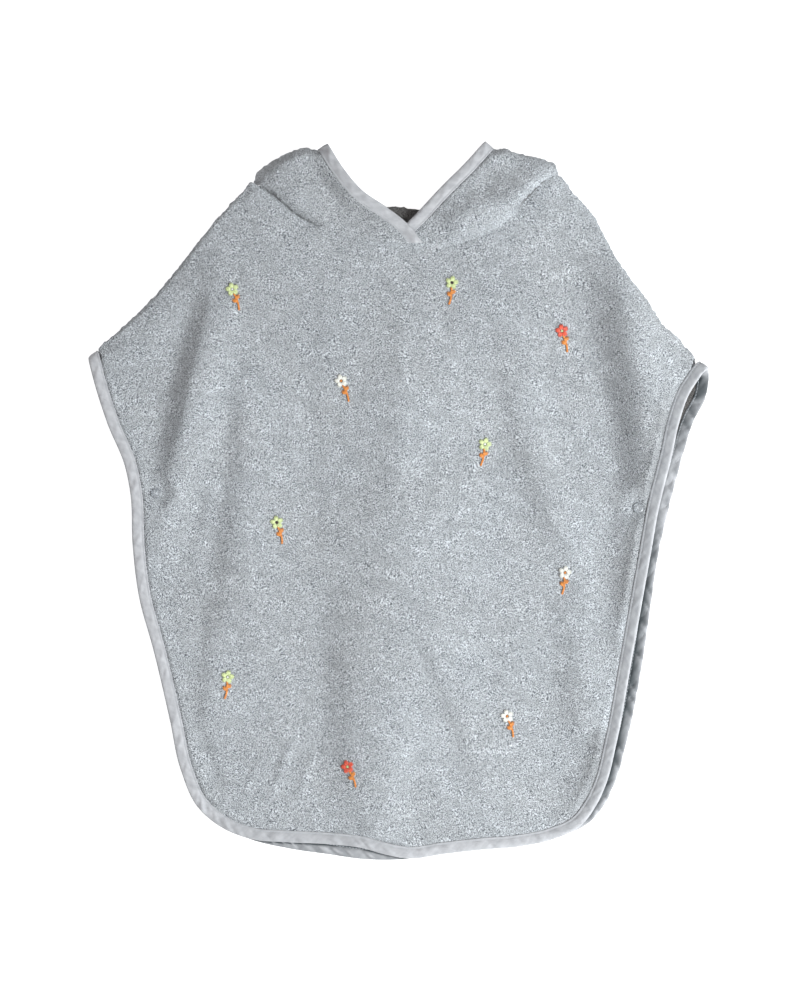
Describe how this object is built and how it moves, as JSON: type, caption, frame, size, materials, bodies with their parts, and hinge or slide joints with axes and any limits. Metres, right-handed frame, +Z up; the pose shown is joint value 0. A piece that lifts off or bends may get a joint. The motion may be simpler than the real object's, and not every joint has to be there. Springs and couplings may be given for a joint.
{
  "type": "hooded bath poncho",
  "caption": "Child's terry bath poncho lying flat, front up: front and back panels, bias-bound edge, press studs at the sides and a hood folded under the neck.",
  "frame": {"origin": "on the surface it lies on, at the middle of the back panel's flat underside", "axes": "+X to the right of the picture as the garment is seen from above with its front up, +Y towards the hood, +Z up off the surface"},
  "size_m": [0.5715, 0.6621, 0.0251],
  "materials": {
    "terry": "looped cotton terry, matt",
    "terry_in_shade": "the same terry inside the neck, in deep shade",
    "binding": "plain woven cotton bias tape, matt",
    "press_stud": "clear plastic"
  },
  "bodies": {
    "root": {"back_panel": "terry", "front_panel": "terry", "body_binding": "binding", "hood_left": "terry", "hood_right": "terry", "hood_fold": "terry_in_shade", "hood_binding_left": "binding", "hood_binding_right": "binding", "press_stud_left_socket": "press_stud", "press_stud_left_ball": "press_stud", "press_stud_right_socket": "press_stud", "press_stud_right_ball": "press_stud"}
  },
  "joints": []
}
